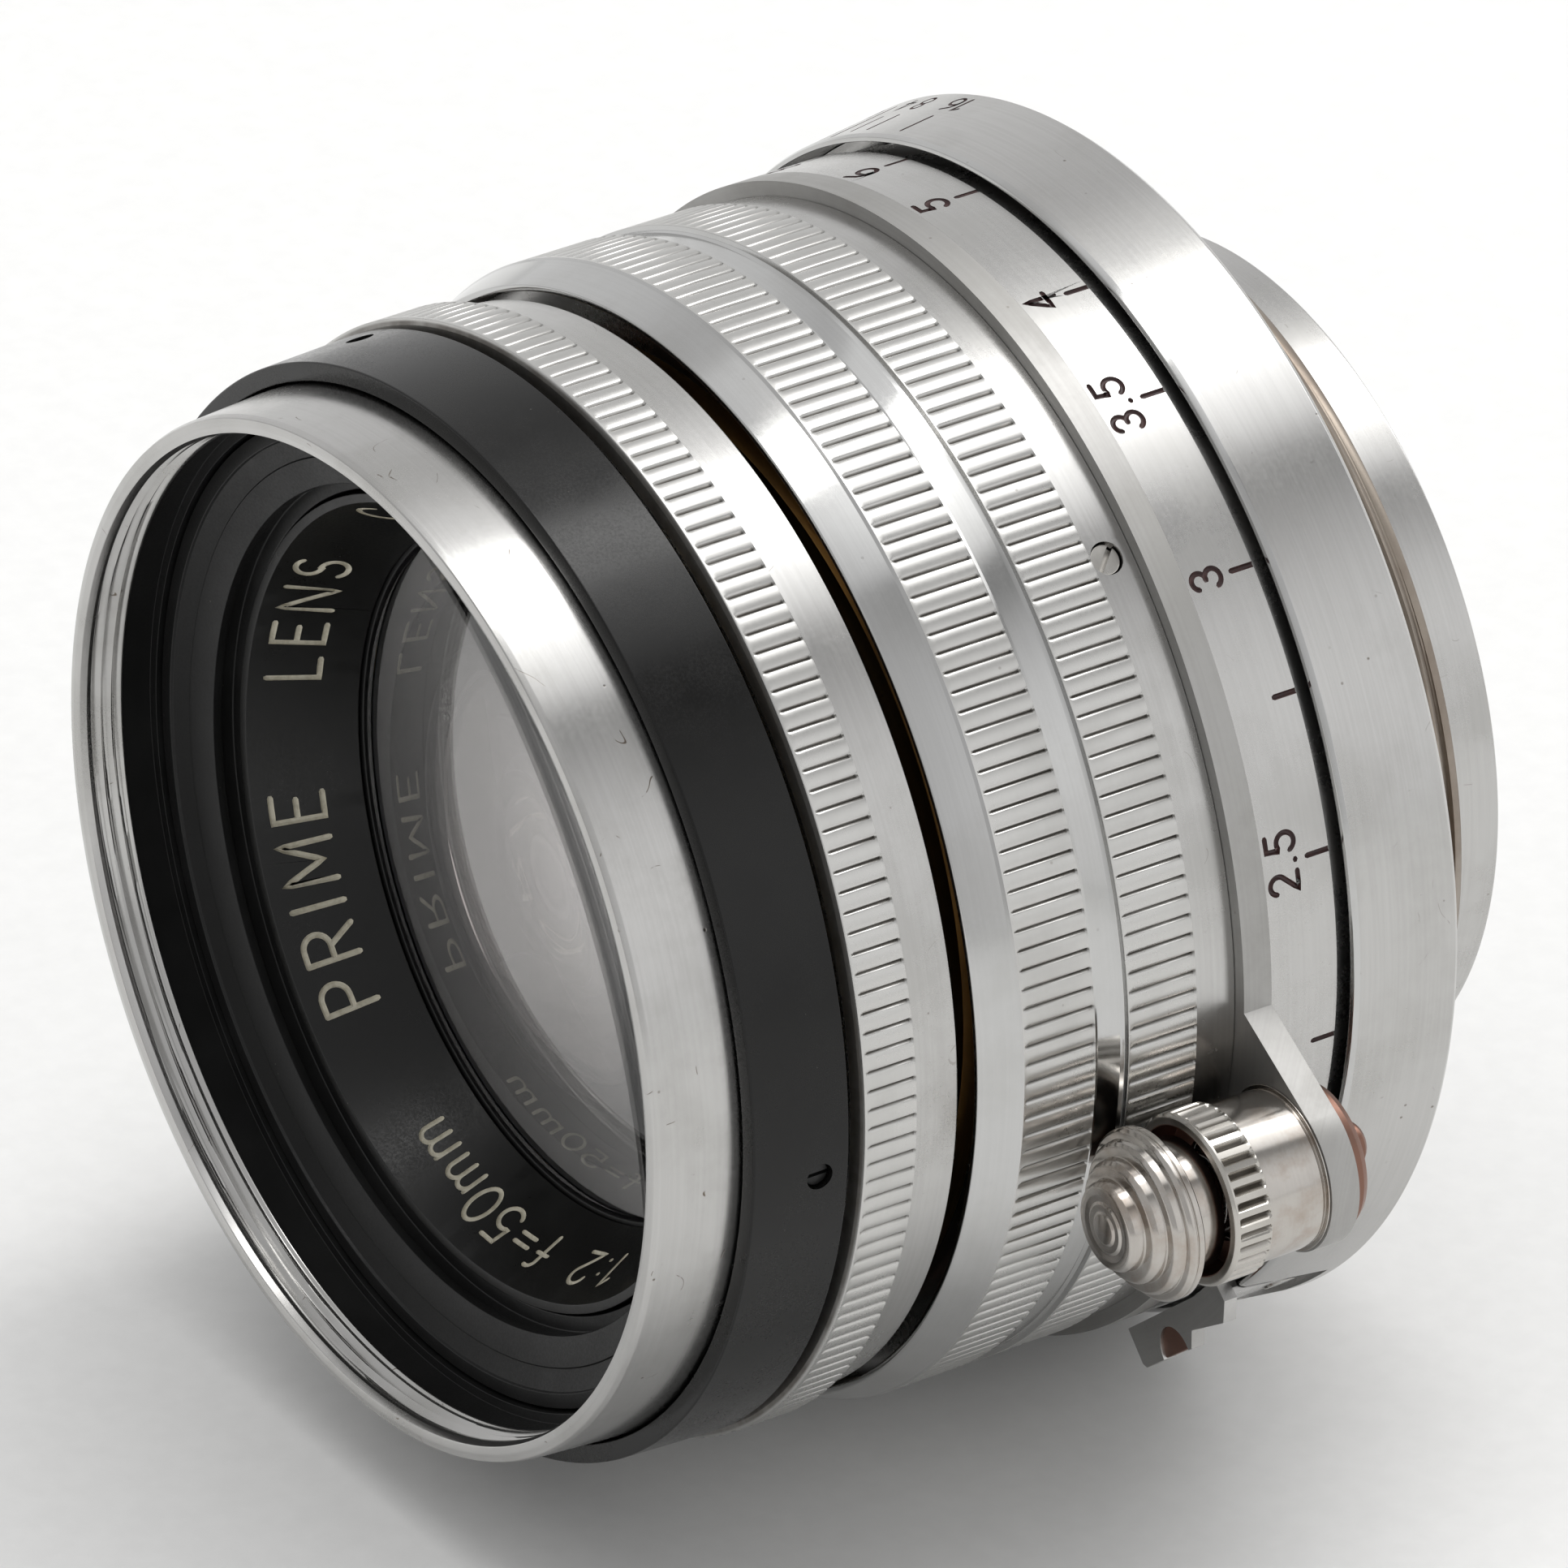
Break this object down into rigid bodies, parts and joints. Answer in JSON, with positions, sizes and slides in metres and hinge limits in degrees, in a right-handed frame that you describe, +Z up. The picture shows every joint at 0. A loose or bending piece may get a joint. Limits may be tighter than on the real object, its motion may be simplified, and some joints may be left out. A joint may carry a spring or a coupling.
{
  "type": "camera lens",
  "caption": "Rigid screw-mount prime camera lens with a knurled focusing ring, a side focusing knob with an infinity-lock button, an aperture ring with an iris, and a recessed front element.",
  "frame": {"origin": "centre of the seat plane that meets the camera body", "axes": "+Y is the optical axis, pointing from the front of the lens to the camera; +Z is up with the index towards the top; the focusing knob is near +X"},
  "size_m": [0.0542, 0.0417, 0.0492],
  "materials": {
    "chrome_front": "worn satin chrome plate",
    "chrome_grip": "worn satin chrome plate with polished chamfers",
    "chrome_mount": "worn satin chrome plate",
    "nickel_knob": "polished nickel plate, lightly tarnished",
    "browned_metal": "dark brown patina",
    "black_enamel": "black enamel, satin gloss, faint marks",
    "black_anodised": "matt black anti-reflection paint",
    "brass_helicoid": "machined, greased",
    "steel_screws": "machined steel",
    "iris_steel": "blued and blackened",
    "coated_glass": "optical polish, faint brownish-violet coating"
  },
  "bodies": {
    "mount": {"mount_flange": "chrome_mount", "dof_ring": "chrome_mount", "infinity_catch": "chrome_mount", "catch_screw": "steel_screws", "helicoid_retaining_ring": "brass_helicoid", "guide_key": "steel_screws"},
    "focus_ring": {"helicoid_rotor": "brass_helicoid", "grip_ring": "chrome_grip", "grip_screw_1": "steel_screws", "grip_screw_2": "steel_screws", "grip_screw_3": "steel_screws", "focus_arm": "chrome_grip", "scale_ring": "chrome_grip", "knob_sleeve": "nickel_knob", "knob_collar": "nickel_knob", "arm_nut": "browned_metal", "lock_spring": "steel_screws"},
    "lock_button": {"lock_button": "nickel_knob", "lock_pin": "browned_metal"},
    "optical_unit": {"filter_rim": "chrome_front", "black_band": "black_enamel", "band_screw_1": "black_anodised", "band_screw_2": "black_anodised", "band_screw_3": "black_anodised", "front_bezel": "black_anodised", "name_ring": "black_anodised", "front_cell": "black_anodised", "front_element": "coated_glass", "triplet_front": "coated_glass", "triplet_middle": "coated_glass", "triplet_rear": "coated_glass", "main_barrel": "brass_helicoid", "aperture_retainer": "brass_helicoid", "iris_housing": "black_anodised", "rear_cell": "black_anodised", "rear_doublet_front": "coated_glass", "rear_doublet_back": "coated_glass", "rear_retainer": "black_anodised", "cam_barrel": "chrome_front"},
    "aperture_ring": {"aperture_ring": "chrome_front", "aperture_drive_screw": "steel_screws", "iris_cam_ring": "black_anodised"},
    "blade_1": {"iris_blade_1": "iris_steel"},
    "blade_2": {"iris_blade_2": "iris_steel"},
    "blade_3": {"iris_blade_3": "iris_steel"},
    "blade_4": {"iris_blade_4": "iris_steel"},
    "blade_5": {"iris_blade_5": "iris_steel"},
    "blade_6": {"iris_blade_6": "iris_steel"},
    "blade_7": {"iris_blade_7": "iris_steel"},
    "blade_8": {"iris_blade_8": "iris_steel"},
    "blade_9": {"iris_blade_9": "iris_steel"},
    "blade_10": {"iris_blade_10": "iris_steel"}
  },
  "joints": [
    {"name": "focus_turn", "type": "hinge", "parent": "mount", "child": "focus_ring", "pos_m": [0, 0, 0], "axis": [0, -1, 0], "range_deg": [-38.75, 238.45]},
    {"name": "focus_travel", "type": "slide", "parent": "mount", "child": "optical_unit", "axis": [0, -1, 0], "range_m": [-0.00109, 0.00664]},
    {"name": "lock_press", "type": "slide", "parent": "focus_ring", "child": "lock_button", "axis": [0, 1, 0], "range_m": [0, 0.0011], "stiffness_N_per_m": 400, "springref_m": -0.002, "deforming": ["lock_spring"]},
    {"name": "aperture_turn", "type": "hinge", "parent": "optical_unit", "child": "aperture_ring", "pos_m": [0, 0, 0], "axis": [0, -1, 0], "range_deg": [0, 72]},
    {"name": "blade_1_swing", "type": "hinge", "parent": "optical_unit", "child": "blade_1", "pos_m": [0.01165, -0.01505, 0.00846], "axis": [0, -1, 0], "range_deg": [0, 32]},
    {"name": "blade_2_swing", "type": "hinge", "parent": "optical_unit", "child": "blade_2", "pos_m": [0.00445, -0.01505, 0.0137], "axis": [0, -1, 0], "range_deg": [0, 32]},
    {"name": "blade_3_swing", "type": "hinge", "parent": "optical_unit", "child": "blade_3", "pos_m": [-0.00445, -0.01505, 0.0137], "axis": [0, -1, 0], "range_deg": [0, 32]},
    {"name": "blade_4_swing", "type": "hinge", "parent": "optical_unit", "child": "blade_4", "pos_m": [-0.01165, -0.01505, 0.00846], "axis": [0, -1, 0], "range_deg": [0, 32]},
    {"name": "blade_5_swing", "type": "hinge", "parent": "optical_unit", "child": "blade_5", "pos_m": [-0.0144, -0.01505, 0], "axis": [0, -1, 0], "range_deg": [0, 32]},
    {"name": "blade_6_swing", "type": "hinge", "parent": "optical_unit", "child": "blade_6", "pos_m": [-0.01165, -0.01505, -0.00846], "axis": [0, -1, 0], "range_deg": [0, 32]},
    {"name": "blade_7_swing", "type": "hinge", "parent": "optical_unit", "child": "blade_7", "pos_m": [-0.00445, -0.01505, -0.0137], "axis": [0, -1, 0], "range_deg": [0, 32]},
    {"name": "blade_8_swing", "type": "hinge", "parent": "optical_unit", "child": "blade_8", "pos_m": [0.00445, -0.01505, -0.0137], "axis": [0, -1, 0], "range_deg": [0, 32]},
    {"name": "blade_9_swing", "type": "hinge", "parent": "optical_unit", "child": "blade_9", "pos_m": [0.01165, -0.01505, -0.00846], "axis": [0, -1, 0], "range_deg": [0, 32]},
    {"name": "blade_10_swing", "type": "hinge", "parent": "optical_unit", "child": "blade_10", "pos_m": [0.0144, -0.01505, 0], "axis": [0, -1, 0], "range_deg": [0, 32]}
  ],
  "couplings": [
    {"joint": "focus_travel", "follows": "focus_turn", "m_per_rad": 0.0015915},
    {"joint": "blade_1_swing", "follows": "aperture_turn", "ratio": 0.4417},
    {"joint": "blade_2_swing", "follows": "aperture_turn", "ratio": 0.4417},
    {"joint": "blade_3_swing", "follows": "aperture_turn", "ratio": 0.4417},
    {"joint": "blade_4_swing", "follows": "aperture_turn", "ratio": 0.4417},
    {"joint": "blade_5_swing", "follows": "aperture_turn", "ratio": 0.4417},
    {"joint": "blade_6_swing", "follows": "aperture_turn", "ratio": 0.4417},
    {"joint": "blade_7_swing", "follows": "aperture_turn", "ratio": 0.4417},
    {"joint": "blade_8_swing", "follows": "aperture_turn", "ratio": 0.4417},
    {"joint": "blade_9_swing", "follows": "aperture_turn", "ratio": 0.4417},
    {"joint": "blade_10_swing", "follows": "aperture_turn", "ratio": 0.4417}
  ]
}
